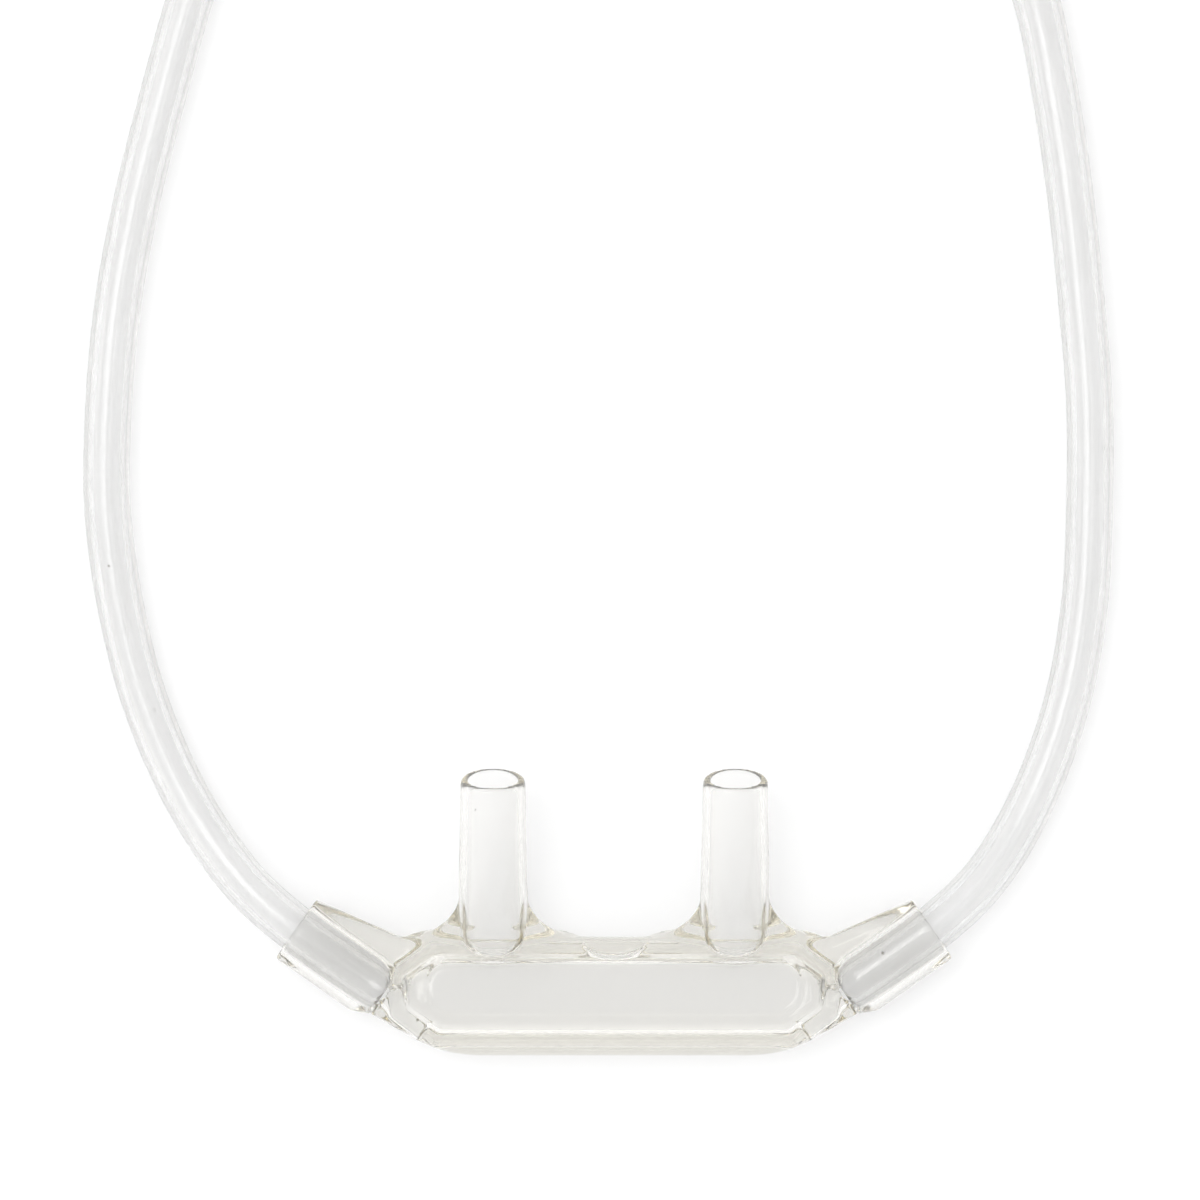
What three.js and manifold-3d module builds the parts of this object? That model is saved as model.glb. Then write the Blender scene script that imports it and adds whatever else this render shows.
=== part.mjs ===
// Nasal oxygen cannula lying flat: a clear moulded facepiece with two hollow prongs, two arm tubes,
// the slider that both arms run through, one coil of their spare length, and the Y connector that
// joins them. Millimetres, +Z up. The facepiece is centred on the origin, with its prongs towards +Y.

import * as THREE from 'three';
import { mergeVertices } from 'three/addons/utils/BufferGeometryUtils.js';
import Module from 'manifold-3d';

const wasm = await Module();
wasm.setup();

// Arm tubing
const TUBE_DIAMETER = 3.6;
const TUBE_SIDES = 8;
const TUBE_CLEARANCE = 0.25;

// Facepiece: six-sided chamber between the prongs and the sockets
const CHAMBER_HEIGHT = 5.8;
const CHAMBER_TOP_Y = -2.2;
const CHAMBER_UPPER_Y = -4.4;
const CHAMBER_LOWER_Y = -7.9;
const CHAMBER_BOTTOM_Y = -10.4;
const CHAMBER_HALF_TOP = 14;
const CHAMBER_HALF_MIDDLE = 17.2;
const CHAMBER_HALF_BOTTOM = 13.8;
const CHAMBER_BEVEL = 1.3;
const CHAMBER_WALL = 1.1;
const CAVITY_BEVEL = 1;

// Facepiece: web that joins prongs, chamber and sockets, and rounds the corners between them
const WEB_THICKNESS = 3.6;
const WEB_BEVEL = 0.9;
const WEB_DIP_Y = -1.9;
const WEB_BOTTOM_Y = -11;
const WEB_UPPER_ANGLE = THREE.MathUtils.degToRad(24);
const WEB_LOWER_ANGLE = THREE.MathUtils.degToRad(30);
const WEB_CORNER = 2.8;

// Facepiece: sockets of the arm tubes
const SOCKET_REACH = 7.2;
const SOCKET_MOUTH_Y = -1.3;
const SOCKET_ANGLE = THREE.MathUtils.degToRad(35);
const SOCKET_SEAT = 8.6;
const SOCKET_WALL = 0.7;
const SOCKET_LEAD = 0.15;
const SOCKET_STOP_RADIUS = 1.2;
const SOCKET_ROOT = 1.4;
const SOCKET_TAPER = 3;
const SOCKET_PASSAGE = 4;

// Facepiece: nasal prongs
const PRONG_SPACING = 18.5;
const PRONG_TILT = THREE.MathUtils.degToRad(20);
const PRONG_TIP_Y = 10.3;
const PRONG_ROOT_Y = -3.3;
const PRONG_BORE_START = 0.6;
const PRONG_TIP_RADIUS = 2.5;
const PRONG_BASE_RADIUS = 2.75;
const PRONG_WALL = 0.6;
const PRONG_LIP = 0.3;
const PRONG_FILLET = 4.2;
const PRONG_FILLET_INSET = 0.5;
const FILLET_STEPS = 6;

// Facepiece: shallow window on the front, and the half-moon relief between the prongs
const WINDOW_WIDTH = 28.8;
const WINDOW_HEIGHT = 4.2;
const WINDOW_CENTRE_Y = -5.7;
const WINDOW_DEPTH = 0.35;
const WINDOW_CORNER = 1.9;
const RELIEF_RADIUS = 3.4;
const RELIEF_CENTRE_Y = -0.1;
const RELIEF_DEPTH = 0.9;

// Slider and the pair of tubes in it
const SLIDER_LENGTH = 12;
const SLIDER_WALL = 0.9;
const SLIDER_START_Y = 102;
const PAIR_GAP = 0.3;
const PAIR_X = -22.5;
const SLIDER_BEVEL = 0.3;

// Coil of the spare tubing: a turn and a half of the pair, in two layers
const COIL_MIDDLE_RADIUS = 21.6;
const COIL_TUBES_ABREAST = 2;
const COIL_LAYERS = 2;
const COIL_CENTRE_Y = 143.5;
const COIL_GAP = 0.3;
const COIL_SEGMENTS = 48;
const COIL_CORNER = 1.2;

// Y connector
const Y_CONNECTOR_START_Y = 111;
const Y_CONNECTOR_LENGTH = 22;
const Y_CONNECTOR_SEAT = 7;
const Y_CONNECTOR_WALL = 1;
const Y_CONNECTOR_WEB = 0.9;
const Y_CONNECTOR_BEVEL = 1.4;
const SUPPLY_BORE_DIAMETER = 5.1;
const SUPPLY_BORE_DEPTH = 9;
const SUPPLY_WALL = 1.25;

// Values that follow from the ones above
const tubeRadius = TUBE_DIAMETER / 2;
const boreRadius = tubeRadius + TUBE_CLEARANCE;
const chamberAxisZ = CHAMBER_HEIGHT / 2;
const socketRadius = boreRadius + SOCKET_WALL;
const socketMouthX = CHAMBER_HALF_MIDDLE + SOCKET_REACH;
const socketDirection = new THREE.Vector3(Math.cos(SOCKET_ANGLE), Math.sin(SOCKET_ANGLE), 0);
const socketMouth = new THREE.Vector3(socketMouthX, SOCKET_MOUTH_Y, chamberAxisZ);
const sliderAxisZ = SLIDER_WALL + boreRadius;
const pairHalf = tubeRadius + PAIR_GAP / 2;
const coilHalfWidth = COIL_TUBES_ABREAST * tubeRadius;
const coilHeight = COIL_LAYERS * TUBE_DIAMETER;
const coilOuterRadius = COIL_MIDDLE_RADIUS + coilHalfWidth;
const coilCentreX = PAIR_X + COIL_MIDDLE_RADIUS;
const supplyRadius = SUPPLY_BORE_DIAMETER / 2 + SUPPLY_WALL;
const connectorAxisZ = supplyRadius;
const connectorHalfSpacing = boreRadius + Y_CONNECTOR_WEB / 2;
const connectorX = coilCentreX + COIL_MIDDLE_RADIUS;

const upwards = new THREE.Vector3(0, 0, 1);

const clearPvc = { roughness: 0.18, metalness: 0, transparent: true };

function material(color, opacity) {
  return new THREE.MeshStandardMaterial({ ...clearPvc, color, opacity });
}

// Solids for joins and cuts

function toSolid(geometry) {
  const bare = geometry.clone();
  bare.deleteAttribute('normal');
  bare.deleteAttribute('uv');
  const merged = mergeVertices(bare, 1e-4);
  const mesh = new wasm.Mesh({
    numProp: 3,
    vertProperties: new Float32Array(merged.attributes.position.array),
    triVerts: new Uint32Array(merged.index.array),
  });
  return new wasm.Manifold(mesh);
}

function toGeometry(solid) {
  const mesh = solid.getMesh();
  const geometry = new THREE.BufferGeometry();
  geometry.setAttribute('position', new THREE.BufferAttribute(mesh.vertProperties, 3));
  geometry.setIndex(new THREE.BufferAttribute(mesh.triVerts, 1));
  geometry.computeVertexNormals();
  return geometry;
}

// A lathe solid whose profile [radius, distance] runs along a direction from a start point.
function turned(profile, segments, start, direction) {
  const points = profile.map(([radius, distance]) => new THREE.Vector2(radius, distance));
  const geometry = new THREE.LatheGeometry(points, segments);
  const up = new THREE.Vector3(0, 1, 0);
  geometry.applyQuaternion(new THREE.Quaternion().setFromUnitVectors(up, direction));
  geometry.translate(start.x, start.y, start.z);
  return toSolid(geometry);
}

function plug(radius, length, segments, start, direction) {
  return turned([[0, 0], [radius, 0], [radius, length], [0, length]], segments, start, direction);
}

// A flat outline made thick, with rounded edges that stay inside the outline, or inset from it.
function slab(outline, bottom, top, bevel, inset = 0) {
  const geometry = new THREE.ExtrudeGeometry(outline, {
    depth: top - bottom - 2 * bevel,
    bevelEnabled: bevel > 0,
    bevelThickness: bevel,
    bevelSize: bevel,
    bevelOffset: -bevel - inset,
    bevelSegments: 3,
    curveSegments: 8,
  });
  geometry.translate(0, 0, bottom + bevel);
  return toSolid(geometry);
}

function mirrored(points) {
  return points.concat(points.map(([x, y]) => [-x, y]).reverse());
}

function polygon(points) {
  return new THREE.Shape(points.map(([x, y]) => new THREE.Vector2(x, y)));
}

function roundedBox(width, height, radius, centreY) {
  const shape = new THREE.Shape();
  const x = width / 2 - radius;
  const y = height / 2 - radius;
  shape.absarc(x, centreY + y, radius, 0, Math.PI / 2);
  shape.absarc(-x, centreY + y, radius, Math.PI / 2, Math.PI);
  shape.absarc(-x, centreY - y, radius, Math.PI, 1.5 * Math.PI);
  shape.absarc(x, centreY - y, radius, 1.5 * Math.PI, 2 * Math.PI);
  return shape;
}

// Facepiece

const chamberOutline = polygon(mirrored([
  [CHAMBER_HALF_TOP, CHAMBER_TOP_Y],
  [CHAMBER_HALF_MIDDLE, CHAMBER_UPPER_Y],
  [CHAMBER_HALF_MIDDLE, CHAMBER_LOWER_Y],
  [CHAMBER_HALF_BOTTOM, CHAMBER_BOTTOM_Y],
]));

// The web's upper edge runs level past the prongs' roots and then up along the socket. The outline
// crosses the socket's mouth there and comes back below the chamber.
function webOutline() {
  const across = new THREE.Vector2(-socketDirection.y, socketDirection.x);
  const mouth = new THREE.Vector2(socketMouthX, SOCKET_MOUTH_Y);
  const upper = mouth.clone().addScaledVector(across, socketRadius);
  const lower = mouth.clone().addScaledVector(across, -socketRadius);
  const saddleX = upper.x - (upper.y - WEB_DIP_Y) / Math.tan(WEB_UPPER_ANGLE);
  const bottomX = lower.x - (lower.y - WEB_BOTTOM_Y) / Math.tan(WEB_LOWER_ANGLE);
  const bendX = bottomX + WEB_CORNER * Math.cos(WEB_LOWER_ANGLE);
  const bendY = WEB_BOTTOM_Y + WEB_CORNER * Math.sin(WEB_LOWER_ANGLE);
  const shape = new THREE.Shape();
  shape.moveTo(-saddleX, WEB_DIP_Y);
  shape.lineTo(saddleX, WEB_DIP_Y);
  shape.lineTo(upper.x, upper.y);
  shape.lineTo(lower.x, lower.y);
  shape.lineTo(bendX, bendY);
  shape.quadraticCurveTo(bottomX, WEB_BOTTOM_Y, bottomX - WEB_CORNER, WEB_BOTTOM_Y);
  shape.lineTo(WEB_CORNER - bottomX, WEB_BOTTOM_Y);
  shape.quadraticCurveTo(-bottomX, WEB_BOTTOM_Y, -bendX, bendY);
  shape.lineTo(-lower.x, lower.y);
  shape.lineTo(-upper.x, upper.y);
  return shape;
}

function prongFrame(side) {
  const direction = new THREE.Vector3(0, Math.cos(PRONG_TILT), Math.sin(PRONG_TILT));
  const start = new THREE.Vector3(side * PRONG_SPACING / 2, PRONG_ROOT_Y, chamberAxisZ);
  const length = (PRONG_TIP_Y - PRONG_ROOT_Y) / Math.cos(PRONG_TILT);
  return { direction, start, length };
}

function prongBody(side) {
  const { direction, start, length } = prongFrame(side);
  const profile = [
    [0, 0],
    [PRONG_BASE_RADIUS, 0],
    [PRONG_TIP_RADIUS, length - PRONG_LIP],
    [PRONG_TIP_RADIUS - 0.35 * PRONG_LIP, length - 0.25 * PRONG_LIP],
    [PRONG_TIP_RADIUS - PRONG_LIP, length],
    [0, length],
  ];
  return turned(profile, 32, start, direction);
}

// The trumpet of soft plastic round a prong's root: a concave arc, flattened to the chamber's height.
function prongFillet(side) {
  const rootRadius = PRONG_BASE_RADIUS + PRONG_FILLET - PRONG_LIP;
  const back = -PRONG_FILLET / 2;
  const points = [new THREE.Vector2(0, back), new THREE.Vector2(rootRadius, back)];
  for (let i = 0; i <= FILLET_STEPS; i += 1) {
    const angle = (Math.PI / 2) * (i / FILLET_STEPS);
    const radius = rootRadius - PRONG_FILLET * Math.sin(angle);
    points.push(new THREE.Vector2(radius, PRONG_FILLET * (1 - Math.cos(angle))));
  }
  points.push(new THREE.Vector2(0, PRONG_FILLET));
  const geometry = new THREE.LatheGeometry(points, 40);
  geometry.scale(1, 1, (chamberAxisZ - PRONG_FILLET_INSET) / rootRadius);
  geometry.rotateX(PRONG_TILT);
  const rise = (WEB_DIP_Y - PRONG_ROOT_Y) * Math.tan(PRONG_TILT);
  geometry.translate((side * PRONG_SPACING) / 2, WEB_DIP_Y, chamberAxisZ + rise);
  return toSolid(geometry);
}

function prongBore(side) {
  const { direction, start, length } = prongFrame(side);
  const profile = [
    [0, PRONG_BORE_START],
    [PRONG_BASE_RADIUS - PRONG_WALL, PRONG_BORE_START],
    [PRONG_TIP_RADIUS - PRONG_WALL, length],
    [PRONG_TIP_RADIUS - PRONG_WALL, length + 1],
    [0, length + 1],
  ];
  return turned(profile, 32, start, direction);
}

function sideDirection(side) {
  return new THREE.Vector3(side * socketDirection.x, socketDirection.y, 0);
}

// A point on a socket's axis, measured back from its mouth into the facepiece.
function socketPoint(side, depth) {
  const mouth = new THREE.Vector3(side * socketMouth.x, socketMouth.y, socketMouth.z);
  return mouth.addScaledVector(sideDirection(side), -depth);
}

function socketBody(side) {
  const root = SOCKET_SEAT + SOCKET_ROOT;
  const profile = [
    [0, 0],
    [socketRadius - SOCKET_ROOT, 0],
    [socketRadius, SOCKET_TAPER],
    [socketRadius, root - SOCKET_LEAD],
    [socketRadius - SOCKET_LEAD, root],
    [0, root],
  ];
  return turned(profile, 28, socketPoint(side, root), sideDirection(side));
}

function socketBore(side) {
  const direction = sideDirection(side);
  const seat = plug(boreRadius, SOCKET_SEAT + 1, 28, socketPoint(side, SOCKET_SEAT), direction);
  const reach = SOCKET_SEAT + SOCKET_PASSAGE;
  const passage = plug(SOCKET_STOP_RADIUS, SOCKET_PASSAGE + 1, 20, socketPoint(side, reach), direction);
  return seat.add(passage);
}

function facepiece() {
  const webBottom = chamberAxisZ - WEB_THICKNESS / 2;
  const webTop = chamberAxisZ + WEB_THICKNESS / 2;
  const roof = CHAMBER_HEIGHT - CHAMBER_WALL;
  const window = roundedBox(WINDOW_WIDTH, WINDOW_HEIGHT, WINDOW_CORNER, WINDOW_CENTRE_Y);
  let solid = slab(chamberOutline, 0, CHAMBER_HEIGHT, CHAMBER_BEVEL);
  solid = solid.subtract(slab(window, CHAMBER_HEIGHT - WINDOW_DEPTH, CHAMBER_HEIGHT + 1, 0));
  solid = solid.add(slab(webOutline(), webBottom, webTop, WEB_BEVEL));
  for (const side of [-1, 1]) {
    solid = solid.add(prongBody(side)).add(prongFillet(side)).add(socketBody(side));
  }
  const reliefStart = new THREE.Vector3(0, RELIEF_CENTRE_Y, CHAMBER_HEIGHT - RELIEF_DEPTH);
  solid = solid.subtract(plug(RELIEF_RADIUS, RELIEF_DEPTH + 1, 32, reliefStart, upwards));
  solid = solid.subtract(slab(chamberOutline, CHAMBER_WALL, roof, CAVITY_BEVEL, CHAMBER_WALL));
  for (const side of [-1, 1]) {
    solid = solid.subtract(prongBore(side)).subtract(socketBore(side));
  }
  return toGeometry(solid);
}

// Arm tubes

// The left arm from its seat in the socket to the coil: each point is [x, y, z].
const leftSeat = socketPoint(-1, SOCKET_SEAT - TUBE_CLEARANCE).toArray();
const rightSeat = socketPoint(1, SOCKET_SEAT - TUBE_CLEARANCE).toArray();
const floorZ = tubeRadius;

const leftVisible = [
  socketPoint(-1, 0).toArray(),
  [-28.4, 2.3, 2.6],
  [-32.5, 8.2, 2.0],
  [-35.9, 15.8, floorZ],
  [-37.9, 23.5, floorZ],
  [-38.9, 31.2, floorZ],
  [-38.8, 38.9, floorZ],
  [-38.1, 46.6, floorZ],
  [-36.7, 54.3, floorZ],
  [-34.8, 62.0, floorZ],
  [-32.6, 70.0, floorZ],
];

const rightVisible = [
  socketPoint(1, 0).toArray(),
  [28.4, 2.5, 2.6],
  [31.9, 8.2, 2.0],
  [34.7, 15.8, floorZ],
  [36.1, 23.5, floorZ],
  [36.5, 31.2, floorZ],
  [36.5, 38.9, floorZ],
  [35.9, 46.6, floorZ],
  [35.1, 54.3, floorZ],
  [34.0, 62.0, floorZ],
  [32.4, 70.0, floorZ],
];

const leftMeeting = [
  [-30.1, 77.7, floorZ],
  [-27.4, 85.1, floorZ],
  [-25.3, 92.6, 2.2],
];

const rightMeeting = [
  [30.3, 75.3, floorZ],
  [26.6, 79.5, floorZ],
  [22.2, 81.9, floorZ],
  [17.5, 82.8, floorZ],
  [6.1, 83.4, floorZ],
  [-5.4, 84.0, floorZ],
  [-10.0, 85.0, floorZ],
  [-14.9, 87.8, 1.9],
  [-18.4, 92.0, 2.2],
  [-20.0, 95.9, 2.6],
];

function pairRun(side, endY) {
  const x = PAIR_X + side * pairHalf;
  return [
    [x, 100.5, sliderAxisZ],
    [x, 106, sliderAxisZ],
    [x, 112, sliderAxisZ],
    [x, 118, sliderAxisZ],
    [x, endY, sliderAxisZ],
  ];
}

// Where a straight tube at the given distance from the coil's centre meets the coil's outside.
function coilReach(distance) {
  const innerEdge = distance - tubeRadius;
  return Math.sqrt(coilOuterRadius ** 2 - innerEdge ** 2) + COIL_GAP;
}

const outerTurn = COIL_MIDDLE_RADIUS + pairHalf;
const innerTurn = COIL_MIDDLE_RADIUS - pairHalf;
const leftArmEndY = COIL_CENTRE_Y - coilReach(outerTurn);
const rightArmEndY = COIL_CENTRE_Y - coilReach(innerTurn);

const leftArm = [leftSeat, ...leftVisible, ...leftMeeting, ...pairRun(-1, leftArmEndY)];
const rightArm = [rightSeat, ...rightVisible, ...rightMeeting, ...pairRun(1, rightArmEndY)];

// The left arm is the outer one of the pair all round the coil, and leaves it towards -Y.
function tailRun(turnRadius, side) {
  const x = coilCentreX + turnRadius;
  const endX = connectorX + side * connectorHalfSpacing;
  const topLayerZ = coilHeight - tubeRadius;
  const startY = COIL_CENTRE_Y - coilReach(turnRadius);
  const mouthY = Y_CONNECTOR_START_Y;
  return [
    [x, startY, topLayerZ],
    [x, startY - tubeRadius, topLayerZ],
    [(x + endX) / 2, (startY + mouthY) / 2, (topLayerZ + connectorAxisZ) / 2],
    [endX, mouthY + 2, connectorAxisZ],
    [endX, mouthY - Y_CONNECTOR_SEAT + TUBE_CLEARANCE, connectorAxisZ],
  ];
}

function tube(points, steps) {
  const curve = new THREE.CatmullRomCurve3(points.map((point) => new THREE.Vector3(...point)));
  const section = new THREE.Shape();
  for (let i = 0; i < TUBE_SIDES; i += 1) {
    const angle = (2 * Math.PI * (i + 0.5)) / TUBE_SIDES;
    const x = tubeRadius * Math.cos(angle);
    const y = tubeRadius * Math.sin(angle);
    if (i === 0) {
      section.moveTo(x, y);
    } else {
      section.lineTo(x, y);
    }
  }
  return new THREE.ExtrudeGeometry(section, { steps, bevelEnabled: false, extrudePath: curve });
}

// Coil, slider and Y connector

function coilRing() {
  const inner = COIL_MIDDLE_RADIUS - coilHalfWidth;
  const outer = coilOuterRadius;
  const c = COIL_CORNER;
  const profile = [
    [inner + c, 0],
    [outer - c, 0],
    [outer, c],
    [outer, coilHeight - c],
    [outer - c, coilHeight],
    [inner + c, coilHeight],
    [inner, coilHeight - c],
    [inner, c],
    [inner + c, 0],
  ];
  const points = profile.map(([radius, z]) => new THREE.Vector2(radius, z));
  const geometry = new THREE.LatheGeometry(points, COIL_SEGMENTS);
  geometry.rotateX(Math.PI / 2);
  geometry.translate(coilCentreX, COIL_CENTRE_Y, 0);
  return geometry;
}

function stadium(halfWidth, radius) {
  const shape = new THREE.Shape();
  shape.absarc(halfWidth, 0, radius, -Math.PI / 2, Math.PI / 2);
  shape.absarc(-halfWidth, 0, radius, Math.PI / 2, 1.5 * Math.PI);
  return shape;
}

function slider() {
  const body = slab(stadium(pairHalf, boreRadius + SLIDER_WALL), 0, SLIDER_LENGTH, SLIDER_BEVEL);
  const slot = slab(stadium(pairHalf, boreRadius), -1, SLIDER_LENGTH + 1, 0);
  const geometry = toGeometry(body.subtract(slot));
  geometry.rotateX(-Math.PI / 2);
  geometry.translate(PAIR_X, SLIDER_START_Y, sliderAxisZ);
  return geometry;
}

// The connector's sockets face +Y, towards the coil, and its supply port faces -Y.
function connector() {
  const along = new THREE.Vector3(0, 1, 0);
  const length = Y_CONNECTOR_LENGTH;
  const socketHalf = connectorHalfSpacing + boreRadius + Y_CONNECTOR_WALL;
  const shoulder = Y_CONNECTOR_SEAT + 2;
  const boreBottom = length - SUPPLY_BORE_DEPTH;
  const portStart = boreBottom - Y_CONNECTOR_WALL;
  const outline = polygon(mirrored([
    [socketHalf, 0],
    [socketHalf, shoulder],
    [supplyRadius, portStart],
    [supplyRadius, portStart + 2],
  ]));
  let solid = slab(outline, 0, 2 * connectorAxisZ, Y_CONNECTOR_BEVEL);
  const portBase = new THREE.Vector3(0, portStart - 2, connectorAxisZ);
  solid = solid.add(plug(supplyRadius, length - portStart + 2, 32, portBase, along));
  const supplyStart = new THREE.Vector3(0, boreBottom, connectorAxisZ);
  const supplyBore = plug(SUPPLY_BORE_DIAMETER / 2, SUPPLY_BORE_DEPTH + 1, 32, supplyStart, along);
  solid = solid.subtract(supplyBore);
  for (const side of [-1, 1]) {
    const x = side * connectorHalfSpacing;
    const mouth = new THREE.Vector3(x, -1, connectorAxisZ);
    solid = solid.subtract(plug(boreRadius, Y_CONNECTOR_SEAT + 1, 28, mouth, along));
    const from = new THREE.Vector3(x, Y_CONNECTOR_SEAT - 0.5, connectorAxisZ);
    const to = new THREE.Vector3(side * 0.9, boreBottom + 0.5, connectorAxisZ);
    const lean = to.clone().sub(from);
    solid = solid.subtract(plug(SOCKET_STOP_RADIUS, lean.length(), 20, from, lean.normalize()));
  }
  const geometry = toGeometry(solid);
  geometry.rotateZ(Math.PI);
  geometry.translate(connectorX, Y_CONNECTOR_START_Y, 0);
  return geometry;
}

const ARM_STEPS = 30;
const TAIL_STEPS = 4;

const cannula = new THREE.Group();

function place(name, geometry, color, opacity) {
  const mesh = new THREE.Mesh(geometry, material(color, opacity));
  mesh.name = name;
  cannula.add(mesh);
}

place('facepiece', facepiece(), 0xdad8c6, 0.7);
place('arm_tube_left', tube(leftArm, ARM_STEPS), 0xe8e8e4, 0.6);
place('arm_tube_right', tube(rightArm, ARM_STEPS), 0xe8e8e4, 0.6);
place('slider', slider(), 0xdcdcd2, 0.65);
place('arm_coil', coilRing(), 0xe6e6e2, 0.7);
place('arm_tail_left', tube(tailRun(outerTurn, 1), TAIL_STEPS), 0xe8e8e4, 0.6);
place('arm_tail_right', tube(tailRun(innerTurn, -1), TAIL_STEPS), 0xe8e8e4, 0.6);
place('y_connector', connector(), 0xdad8c6, 0.7);

export default cannula;
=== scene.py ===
# %% [markdown]
# # A nasal oxygen cannula in clear soft PVC
#
# The real thing is one moulded facepiece with two short prongs, two thin arm
# tubes that leave it as a loop, a slider that closes the loop under the chin,
# and a Y connector that takes the supply tube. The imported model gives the
# sizes and the places. This script gives the moulded surfaces, the hollow
# tubes at their real length, and the look of soft clear plastic.

import math

import bmesh
import bpy
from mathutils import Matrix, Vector


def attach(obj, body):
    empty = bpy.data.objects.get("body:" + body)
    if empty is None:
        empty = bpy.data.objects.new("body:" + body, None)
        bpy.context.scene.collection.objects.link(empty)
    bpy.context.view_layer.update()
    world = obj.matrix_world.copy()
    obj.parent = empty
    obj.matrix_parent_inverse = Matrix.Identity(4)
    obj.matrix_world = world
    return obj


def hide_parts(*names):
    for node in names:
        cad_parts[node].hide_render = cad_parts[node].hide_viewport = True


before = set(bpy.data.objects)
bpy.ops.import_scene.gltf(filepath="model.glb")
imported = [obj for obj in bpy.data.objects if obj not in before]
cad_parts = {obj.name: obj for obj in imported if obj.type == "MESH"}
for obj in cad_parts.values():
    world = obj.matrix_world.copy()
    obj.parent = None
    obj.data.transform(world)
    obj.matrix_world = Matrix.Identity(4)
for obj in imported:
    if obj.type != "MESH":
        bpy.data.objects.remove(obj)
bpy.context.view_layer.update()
scene = bpy.context.scene
MM = 0.001
print("packed nodes:", ", ".join(sorted(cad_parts)))

# %% [markdown]
# ## The camera
#
# The photograph looks straight down from far away, so its lines hardly
# converge. A long lens gives that, and its focal length follows from the
# width of the view at the floor. The long lens is chosen over an orthographic
# camera because the prongs then lean in the picture as they do in a photograph.

# %% Camera straight above the facepiece and the start of the loop
VIEW_WIDTH = 92.3 * MM
VIEW_CENTRE = Vector((-1.08, 23.9, 0)) * MM
CAMERA_HEIGHT = 0.9
SENSOR_WIDTH = 36

camera_data = bpy.data.cameras.new("studio_camera")
camera_data.sensor_width = SENSOR_WIDTH
camera_data.lens = SENSOR_WIDTH * CAMERA_HEIGHT / VIEW_WIDTH
camera_data.clip_start = 0.05
camera_data.clip_end = 20
camera = bpy.data.objects.new("studio_camera", camera_data)
camera.location = VIEW_CENTRE + Vector((0, 0, CAMERA_HEIGHT))
scene.collection.objects.link(camera)
scene.camera = camera
print("lens:", round(camera_data.lens), "mm")

# %% [markdown]
# ## The route of each arm tube
#
# A soft tube bends evenly, so its line is a smooth curve through a few points.
# A Catmull-Rom curve passes through every point it is given and keeps straight
# runs straight, which a tube that lies through a slider needs. The part of the
# loop outside the picture runs together through the slider, makes a round coil
# of one and a half turns, and ends in the Y connector. The photograph shows
# about 85 mm of each arm. The full 0.42 m was fitted to the room that a stored
# part may take up: the first estimate for such a cannula was 0.50 m.

# %% The points of the loop, in millimetres
TUBE_RADIUS = 1.8
FLOOR_Z = TUBE_RADIUS
CHAMBER_AXIS_Z = 2.9
SOCKET_ANGLE = math.radians(35)
SOCKET_MOUTH = (24.4, -1.3)
SOCKET_DEPTH = 8.35
PAIR_HALF = 1.95
PAIR_X = -22.5
SLIDER_AXIS_Z = 2.95

LEFT_LOOP = [
    (-28.4, 2.3, 2.6), (-32.5, 8.2, 2.0), (-35.9, 15.8, FLOOR_Z), (-37.9, 23.5, FLOOR_Z),
    (-38.9, 31.2, FLOOR_Z), (-38.8, 38.9, FLOOR_Z), (-38.1, 46.6, FLOOR_Z),
    (-36.7, 54.3, FLOOR_Z), (-34.8, 62.0, FLOOR_Z), (-32.6, 70.0, FLOOR_Z),
]
RIGHT_LOOP = [
    (28.4, 2.5, 2.6), (31.9, 8.2, 2.0), (34.7, 15.8, FLOOR_Z), (36.1, 23.5, FLOOR_Z),
    (36.5, 31.2, FLOOR_Z), (36.5, 38.9, FLOOR_Z), (35.9, 46.6, FLOOR_Z),
    (35.1, 54.3, FLOOR_Z), (34.0, 62.0, FLOOR_Z), (32.4, 70.0, FLOOR_Z),
]
LEFT_MEETING = [(-30.1, 77.7, FLOOR_Z), (-27.4, 85.1, FLOOR_Z), (-25.3, 92.6, 2.2)]
RIGHT_MEETING = [
    (30.3, 75.3, FLOOR_Z), (26.6, 79.5, FLOOR_Z), (22.2, 81.9, FLOOR_Z), (17.5, 82.8, FLOOR_Z),
    (6.1, 83.4, FLOOR_Z), (-5.4, 84.0, FLOOR_Z), (-10.0, 85.0, FLOOR_Z), (-14.9, 87.8, 1.9),
    (-18.4, 92.0, 2.2), (-20.0, 95.9, 2.6),
]
PAIR_Y = [100.5, 106, 112, 118, 125]


def arm_points(side, loop):
    """From the bottom of the socket, round the loop and through the slider."""
    mouth = (side * SOCKET_MOUTH[0], SOCKET_MOUTH[1], CHAMBER_AXIS_Z)
    seat = (
        mouth[0] - side * SOCKET_DEPTH * math.cos(SOCKET_ANGLE),
        mouth[1] - SOCKET_DEPTH * math.sin(SOCKET_ANGLE),
        CHAMBER_AXIS_Z,
    )
    pair = [(PAIR_X + side * PAIR_HALF, y, SLIDER_AXIS_Z) for y in PAIR_Y]
    return [seat, mouth, *loop, *pair]


# %% [markdown]
# ## The coil and the tails
#
# Spare tubing is wound up for storage. The pair makes one and a half turns side
# by side, and the second half turn climbs over the tubes that come in from the
# slider. A low hump keeps it clear of them, and then two short tails run down
# into the sockets of the Y connector.

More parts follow.
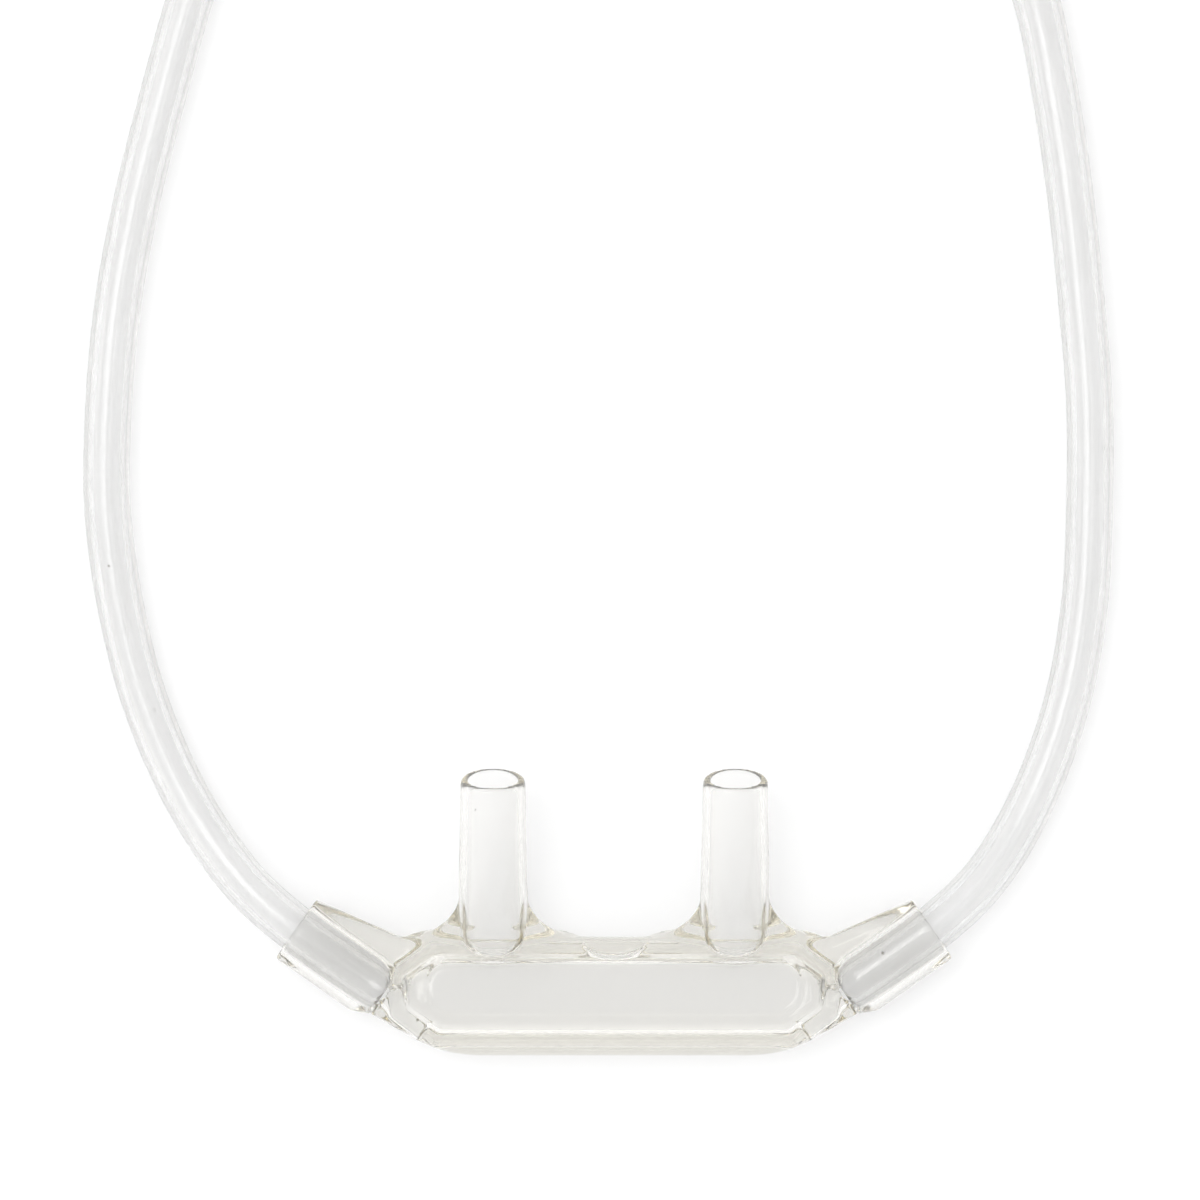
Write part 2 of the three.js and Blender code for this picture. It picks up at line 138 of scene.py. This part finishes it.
# %% The coil and the tails, in millimetres
COIL_CENTRE = (-0.9, 143.5)
COIL_TURNS = 1.5
POINTS_PER_TURN = 24
COIL_RISE = (0.5, 0.84)
COIL_HUMP = 1.2
COIL_HUMP_END = 1.06
OUTER_TURN = 23.55
INNER_TURN = 19.65
UPPER_Z = 5.4
CONNECTOR_X = 20.7
CONNECTOR_Y = 111.0
CONNECTOR_SEAT = 6.75
CONNECTOR_AXIS_Z = 3.8
CONNECTOR_HALF_SPACING = 2.5
CONNECTOR_LEAD = 2
TAIL_STEPS = (9, 18, 24.5)


def eased(value, start, end):
    """0 before start, 1 after end, and a smooth step between them."""
    t = min(max((value - start) / (end - start), 0), 1)
    return t * t * (3 - 2 * t)


def coil_points(radius):
    """One and a half turns, clockwise from above, over the pair that comes in."""
    points = []
    for i in range(int(COIL_TURNS * POINTS_PER_TURN) + 1):
        turn = i / POINTS_PER_TURN
        angle = math.pi - 2 * math.pi * turn
        x = COIL_CENTRE[0] + radius * math.cos(angle)
        y = COIL_CENTRE[1] + radius * math.sin(angle)
        rise = (UPPER_Z + COIL_HUMP - FLOOR_Z) * eased(turn, *COIL_RISE)
        z = FLOOR_Z + rise - COIL_HUMP * eased(turn, COIL_RISE[1], COIL_HUMP_END)
        points.append((x, y, z))
    return points


def tail_points(radius, side):
    """From the coil down into one of the connector's two sockets."""
    x = COIL_CENTRE[0] + radius
    end_x = CONNECTOR_X + side * CONNECTOR_HALF_SPACING
    return [
        (x, COIL_CENTRE[1] - TAIL_STEPS[0], UPPER_Z),
        (x, COIL_CENTRE[1] - TAIL_STEPS[1], UPPER_Z),
        ((x + end_x) / 2, COIL_CENTRE[1] - TAIL_STEPS[2], (UPPER_Z + CONNECTOR_AXIS_Z) / 2),
        (end_x, CONNECTOR_Y + CONNECTOR_LEAD, CONNECTOR_AXIS_Z),
        (end_x, CONNECTOR_Y - CONNECTOR_SEAT, CONNECTOR_AXIS_Z),
    ]


def smooth_route(points, step):
    """Points about a step apart on the Catmull-Rom curve through the given ones."""
    given = [Vector(p) for p in points]
    given = [2 * given[0] - given[1], *given, 2 * given[-1] - given[-2]]
    route = []
    for a, b, c, d in zip(given, given[1:], given[2:], given[3:]):
        t1 = (b - a).length ** 0.5
        t2 = t1 + (c - b).length ** 0.5
        t3 = t2 + (d - c).length ** 0.5
        count = max(1, round((c - b).length / step))
        for i in range(count):
            t = t1 + (t2 - t1) * i / count
            ab = a.lerp(b, t / t1)
            bc = b.lerp(c, (t - t1) / (t2 - t1))
            cd = c.lerp(d, (t - t2) / (t3 - t2))
            abc = ab.lerp(bc, t / t2)
            bcd = bc.lerp(cd, (t - t1) / (t3 - t1))
            route.append(abc.lerp(bcd, (t - t1) / (t2 - t1)))
    return [*route, given[-2]]


# %% [markdown]
# ## Each arm as one line
#
# An arm is one piece of tube from its socket to the Y connector, so its parts
# are joined into one route. Points 0.8 mm apart keep the tightest bend round.

# %% Each arm as one line, in metres
ROUTE_STEP = 0.8

left_points = arm_points(-1, LEFT_LOOP + LEFT_MEETING)
left_points += coil_points(OUTER_TURN) + tail_points(OUTER_TURN, 1)
right_points = arm_points(1, RIGHT_LOOP + RIGHT_MEETING)
right_points += coil_points(INNER_TURN) + tail_points(INNER_TURN, -1)
left_route = [p * MM for p in smooth_route(left_points, ROUTE_STEP)]
right_route = [p * MM for p in smooth_route(right_points, ROUTE_STEP)]
for name, route in (("left", left_route), ("right", right_route)):
    length = sum((b - a).length for a, b in zip(route, route[1:]))
    print(name, "arm:", round(length, 4), "m in", len(route), "points")

# %% [markdown]
# ## Hollow tubes
#
# An extruded tube is a wall round an open lumen, and its look depends on both
# surfaces of the wall. A curve with a bevel makes the outer surface and its UV
# map, and Solidify gives the wall its real thickness inwards, which is simpler
# and more even than bridging two sweeps by hand.

# %% Sweep the two arm tubes
TUBE_WALL = 0.75 * MM
TUBE_RINGS = 12


def link(name, mesh):
    """A new object at the origin, with its place in its mesh."""
    made = bpy.data.objects.new(name, mesh)
    scene.collection.objects.link(made)
    return made


def shade_smooth(mesh):
    """Let the light run smoothly over every face."""
    mesh.polygons.foreach_set("use_smooth", [True] * len(mesh.polygons))
    mesh.update()


def mesh_of(source, name):
    """The mesh that an object shows once its modifiers have run."""
    shown = source.evaluated_get(bpy.context.evaluated_depsgraph_get())
    made = bpy.data.meshes.new_from_object(shown)
    made.name = name
    return made


def swept_tube(name, route):
    """The outer surface of a tube along a route, then its wall inwards."""
    line = bpy.data.curves.new(name + "_line", "CURVE")
    line.dimensions = "3D"
    line.bevel_depth = TUBE_RADIUS * MM
    line.bevel_resolution = TUBE_RINGS
    spline = line.splines.new("POLY")
    spline.points.add(len(route) - 1)
    for point, place in zip(spline.points, route):
        point.co = (*place, 1)
    sweep = bpy.data.objects.new(name + "_line", line)
    scene.collection.objects.link(sweep)
    tube = link(name, mesh_of(sweep, name))
    bpy.data.objects.remove(sweep)
    wall = tube.modifiers.new("wall", "SOLIDIFY")
    wall.thickness = TUBE_WALL
    wall.offset = -1
    shade_smooth(tube.data)
    print(name, len(tube.data.polygons), "faces,", "UV maps:", len(tube.data.uv_layers))
    return tube


left_arm = swept_tube("arm_tube_left_hollow", left_route)
right_arm = swept_tube("arm_tube_right_hollow", right_route)
for arm, own in ((left_arm, "left"), (right_arm, "right")):
    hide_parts("arm_tube_" + own, "arm_tail_" + own, "arm_coil")
    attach(arm, "cannula")

# %% [markdown]
# ## The moulded facepiece
#
# The facepiece is one soft moulding: a flat chamber, two prongs, two sockets
# and the thin web between them. Liquid plastic never leaves a sharp line, so
# every meeting of two forms is a small round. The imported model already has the
# forms, with sharp meetings. A merged copy of it, cut anew into even cells and
# then relaxed, rounds all of them at once, inside and outside.

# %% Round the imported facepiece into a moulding
FACEPIECE_CELL = 0.15 * MM
FACEPIECE_PASSES = 14
RELAX_FACTOR = 0.5
TRIANGLE_LIMIT = 190_000
MERGE_DISTANCE = 0.001 * MM


def rounded_copy(node, name, cell, passes):
    """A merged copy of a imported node, remeshed in even cells and relaxed."""
    mesh = bpy.data.objects[node].data.copy()
    shape = bmesh.new()
    shape.from_mesh(mesh)
    bmesh.ops.remove_doubles(shape, verts=shape.verts, dist=MERGE_DISTANCE)
    shape.to_mesh(mesh)
    shape.free()
    sketch = link(name + "_sketch", mesh)
    cells = sketch.modifiers.new("cells", "REMESH")
    cells.mode = "VOXEL"
    cells.voxel_size = cell
    relax = sketch.modifiers.new("relax", "SMOOTH")
    relax.factor = RELAX_FACTOR
    relax.iterations = passes
    count = 2 * len(mesh_of(sketch, name).polygons)
    if count > TRIANGLE_LIMIT:
        thin = sketch.modifiers.new("thin", "DECIMATE")
        thin.ratio = TRIANGLE_LIMIT / count
    made = link(name, mesh_of(sketch, name))
    bpy.data.objects.remove(sketch)
    made.data.materials.clear()
    shade_smooth(made.data)
    print(name, len(made.data.polygons), "faces")
    return made


def stand_for(piece, replaced, body):
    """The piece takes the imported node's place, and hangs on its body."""
    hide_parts(replaced)
    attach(piece, body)


facepiece = rounded_copy("facepiece", "facepiece_moulding", FACEPIECE_CELL, FACEPIECE_PASSES)
stand_for(facepiece, "facepiece", "cannula")

# %% [markdown]
# ## The slider
#
# The slider is a short oval sleeve that both arms run through, with a wall of
# 0.9 mm. Few passes are enough, because its edges are only slightly rounded.

# %% Round the slider
SLIDER_CELL = 0.16 * MM
SLIDER_PASSES = 5

slider = rounded_copy("slider", "slider_moulding", SLIDER_CELL, SLIDER_PASSES)
stand_for(slider, "slider", "slider")

# %% [markdown]
# ## The Y connector
#
# The Y connector has two sockets for the arms and one open port for the supply
# tube. Its thicker walls have larger rounds, so it is relaxed for longer.

# %% Round the Y connector
CONNECTOR_CELL = 0.18 * MM
CONNECTOR_PASSES = 8

connector = rounded_copy("y_connector", "y_connector_moulding", CONNECTOR_CELL, CONNECTOR_PASSES)
stand_for(connector, "y_connector", "cannula")

# %% [markdown]
# ## Clear soft PVC
#
# Soft PVC is a clear plastic with a refractive index of about 1.53. Its wall
# takes a little of the light, more of the blue than of the rest, so thin walls
# look pale grey and thick corners pale olive. A transmissive shader with an
# absorbing inside gives both from one material, because the light's own path
# through the wall sets how dark it gets. The index used below is 1.4 and not
# 1.53, because the real value drew darker outlines than the photograph has.

# %% Helpers for colours and nodes
def linear(hex_colour):
    """An sRGB hex colour as linear RGBA."""
    parts = [int(hex_colour[i : i + 2], 16) / 255 for i in (1, 3, 5)]
    return [c / 12.92 if c <= 0.04045 else ((c + 0.055) / 1.055) ** 2.4 for c in parts] + [1]


def node(tree, kind, inputs=None, **settings):
    """Add one shader node, with its settings, and fill or link its inputs."""
    made = tree.nodes.new("ShaderNode" + kind)
    for name, value in settings.items():
        setattr(made, name, value)
    for name, value in (inputs or {}).items():
        if isinstance(value, bpy.types.NodeSocket):
            tree.links.new(value, made.inputs[name])
        else:
            made.inputs[name].default_value = value
    return made


# %% [markdown]
# ## Dust and die lines
#
# Soft PVC is tacky and picks up dust, and an extrusion die leaves faint lines
# along a tube. Specks are 0.2 to 0.3 mm wide, one to a 3.5 mm cell, and only in
# about a quarter of the cells. Die lines are about 0.7 mm wide and 16 mm long.
# Both come from noise, so they aren't in the photograph's places.

# %% Masks for the dust and the die lines
SPECK_SPACING = 3.5 * MM
SPECK_RADIUS = (0.025, 0.045)
SPECK_SHARE = 0.72
DIE_LINES = 16
DIE_LINE_PIECES = 26
STREAK_RANGE = (0.35, 0.65)


def specks(tree, place):
    """1 on a few dust-sized specks, and 0 elsewhere."""
    cells = node(tree, "TexVoronoi", {"Vector": place, "Scale": 1 / SPECK_SPACING})
    dot = node(tree, "MapRange", {
        "Value": cells.outputs["Distance"],
        "From Min": SPECK_RADIUS[0], "From Max": SPECK_RADIUS[1], "To Min": 1, "To Max": 0,
    })
    pick = node(tree, "SeparateColor", {"Color": cells.outputs["Color"]}).outputs["Red"]
    chosen = node(tree, "Math", {0: pick, 1: SPECK_SHARE}, operation="GREATER_THAN").outputs[0]
    return node(tree, "Math", {0: dot.outputs["Result"], 1: chosen}, operation="MULTIPLY").outputs[0]


def die_lines(tree, strength):
    """Fine streaks along a tube, whose UV map has U along it and V round it."""
    unrolled = node(tree, "UVMap", uv_map="UVMap").outputs["UV"]
    drawn = node(tree, "Mapping", {
        "Vector": unrolled, "Scale": (DIE_LINE_PIECES, DIE_LINES, 1),
    })
    streak = node(tree, "TexNoise", {"Vector": drawn.outputs["Vector"], "Scale": 1, "Detail": 2})
    return node(tree, "MapRange", {
        "Value": streak.outputs["Fac"],
        "From Min": STREAK_RANGE[0], "From Max": STREAK_RANGE[1], "To Min": 0, "To Max": strength,
    }).outputs["Result"]


# %% [markdown]
# ## The two plastics
#
# The tubes are extruded and slightly milky, with a skin of even roughness, and
# the mouldings are clearer and glossier, and olive where they are thick. Both
# use one recipe: a clear skin with a thin glossy coat over an inside that takes
# a little light for each millimetre. The numbers were set against the
# photograph, and suit its light.

# %% Clear soft PVC for the tubes and for the mouldings
PVC_IOR = 1.4
COAT_IOR = 1.5
COAT_ROUGHNESS = 0.16
FLOW_SCALE = 420
FLOW_RANGE = (0.3, 0.7)
CLEAN_COLOUR = "#FFFFFF"
SPECK_COLOUR = "#8A8478"
SPECK_CLEARNESS = 0.55


def clear_pvc(name, depth_colour, density, haze, smooth, rough, coat, streaks=0):
    """Clear plastic: a pure skin over an inside that takes a little light."""
    material = bpy.data.materials.new(name)
    material.use_nodes = True
    tree = material.node_tree
    tree.nodes.clear()
    place = node(tree, "TexCoord").outputs["Object"]
    flow = node(tree, "TexNoise", {"Vector": place, "Scale": FLOW_SCALE, "Detail": 3})
    gloss = node(tree, "MapRange", {
        "Value": flow.outputs["Fac"],
        "From Min": FLOW_RANGE[0], "From Max": FLOW_RANGE[1], "To Min": smooth, "To Max": rough,
    })
    dust = specks(tree, place)
    tint = node(tree, "MixRGB", {
        "Fac": dust, "Color1": linear(CLEAN_COLOUR), "Color2": linear(SPECK_COLOUR),
    })
    clear = node(tree, "MapRange", {
        "Value": dust, "From Min": 0, "From Max": 1, "To Min": 1 - haze, "To Max": SPECK_CLEARNESS,
    }).outputs["Result"]
    if streaks:
        lines = die_lines(tree, streaks)
        clear = node(tree, "Math", {0: clear, 1: lines}, operation="SUBTRACT").outputs[0]
    skin = node(tree, "BsdfPrincipled", {
        "Base Color": tint.outputs["Color"], "Roughness": gloss.outputs["Result"], "IOR": PVC_IOR,
        "Transmission Weight": clear,
        "Coat Weight": coat, "Coat Roughness": COAT_ROUGHNESS, "Coat IOR": COAT_IOR,
    })
    inside = node(tree, "VolumeAbsorption", {
        "Color": linear(depth_colour), "Density": density,
    })
    node(tree, "OutputMaterial", {
        "Surface": skin.outputs["BSDF"], "Volume": inside.outputs["Volume"],
    })
    return material


# Slightly milky tubes with a soft line of light and faint lines along them.
tube_pvc = clear_pvc(
    "extruded_clear_pvc", depth_colour="#BCB8A0", density=28, haze=0.08,
    smooth=0.14, rough=0.22, coat=0.35, streaks=0.1,
)
# Glossy mouldings, pale grey where they are thin and pale olive where they are thick.
moulded_pvc = clear_pvc(
    "moulded_clear_pvc", depth_colour="#C6B666", density=38, haze=0.04,
    smooth=0.03, rough=0.1, coat=0.15,
)
for arm in (left_arm, right_arm):
    arm.data.materials.clear()
    arm.data.materials.append(tube_pvc)
for piece in (facepiece, slider, connector):
    piece.data.materials.append(moulded_pvc)

# %% [markdown]
# ## The floor
#
# The photograph has a pure white ground with almost no shadow. Matt paper that
# gives off about half of its light itself keeps white under clear plastic,
# which plain paper in the shadow of the cannula doesn't.

# %% Floor
FLOOR_SIZE = 8
FLOOR_DROP = 0.05 * MM
PAPER_COLOUR = "#BCBCBC"
PAPER_GLOW = 0.52
PAPER_ROUGHNESS = 0.9

shape = bmesh.new()
bmesh.ops.create_grid(shape, x_segments=1, y_segments=1, size=FLOOR_SIZE / 2)
bmesh.ops.translate(shape, verts=shape.verts, vec=(0, 0, -FLOOR_DROP))
floor_mesh = bpy.data.meshes.new("studio_floor")
shape.to_mesh(floor_mesh)
shape.free()
floor = link("studio_floor", floor_mesh)
paper = bpy.data.materials.new("matt_white_paper")
paper.use_nodes = True
paper_skin = paper.node_tree.nodes["Principled BSDF"]
paper_skin.inputs["Base Color"].default_value = linear(PAPER_COLOUR)
paper_skin.inputs["Emission Color"].default_value = linear(CLEAN_COLOUR)
paper_skin.inputs["Emission Strength"].default_value = PAPER_GLOW
paper_skin.inputs["Roughness"].default_value = PAPER_ROUGHNESS
paper_skin.inputs["Specular IOR Level"].default_value = 0
floor_mesh.materials.append(paper)

# %% [markdown]
# ## The light
#
# A bright sky, a little darker low down and to the right, lights clear plastic
# with little noise and gives the prongs a light and a grey side. One soft box
# at the upper left draws the fine line along each tube. Light passes through
# many walls before it leaves, so the bounce limits are above the defaults.

# %% Sky and soft box
SKY_STRENGTH = 1.12
SKY_LOW = 0.88
SKY_LOW_TO = 0.6
SKY_RIGHT = 0.82
SKY_SIDE = 0.8
BOUNCES = {"max": 32, "transmission": 32, "glossy": 24, "diffuse": 16}
BOX_PLACE = Vector((-0.30, 0.14, 0.95))
BOX_SIZE = 0.45
BOX_POWER = 2.0

world = bpy.data.worlds.new("studio_sky")
world.use_nodes = True
scene.world = world
sky = world.node_tree
sky.nodes.clear()
direction = node(sky, "TexCoord").outputs["Generated"]
axes = node(sky, "SeparateXYZ", {"Vector": direction})
climb = node(sky, "MapRange", {
    "Value": axes.outputs["Z"],
    "From Min": 0, "From Max": SKY_LOW_TO, "To Min": SKY_LOW, "To Max": 1,
})
across = node(sky, "MapRange", {
    "Value": axes.outputs["X"],
    "From Min": -SKY_SIDE, "From Max": SKY_SIDE, "To Min": 1, "To Max": SKY_RIGHT,
})
shade = node(sky, "Math", {
    0: climb.outputs["Result"], 1: across.outputs["Result"],
}, operation="MULTIPLY")
tone = node(sky, "CombineColor", {
    channel: shade.outputs[0] for channel in ("Red", "Green", "Blue")
})
glow = node(sky, "Background", {"Color": tone.outputs["Color"], "Strength": SKY_STRENGTH})
node(sky, "OutputWorld", {"Surface": glow.outputs["Background"]})

box_data = bpy.data.lights.new("soft_box", "AREA")
box_data.shape = "SQUARE"
box_data.size = BOX_SIZE
box_data.energy = BOX_POWER
soft_box = bpy.data.objects.new("soft_box", box_data)
soft_box.location = BOX_PLACE
soft_box.rotation_mode = "QUATERNION"
soft_box.rotation_quaternion = (VIEW_CENTRE - BOX_PLACE).to_track_quat("-Z", "Y")
scene.collection.objects.link(soft_box)

scene.view_settings.view_transform = "Standard"
for kind, limit in BOUNCES.items():
    setattr(scene.cycles, kind + "_bounces", limit)
print("sky strength:", SKY_STRENGTH, "bounces:", BOUNCES)
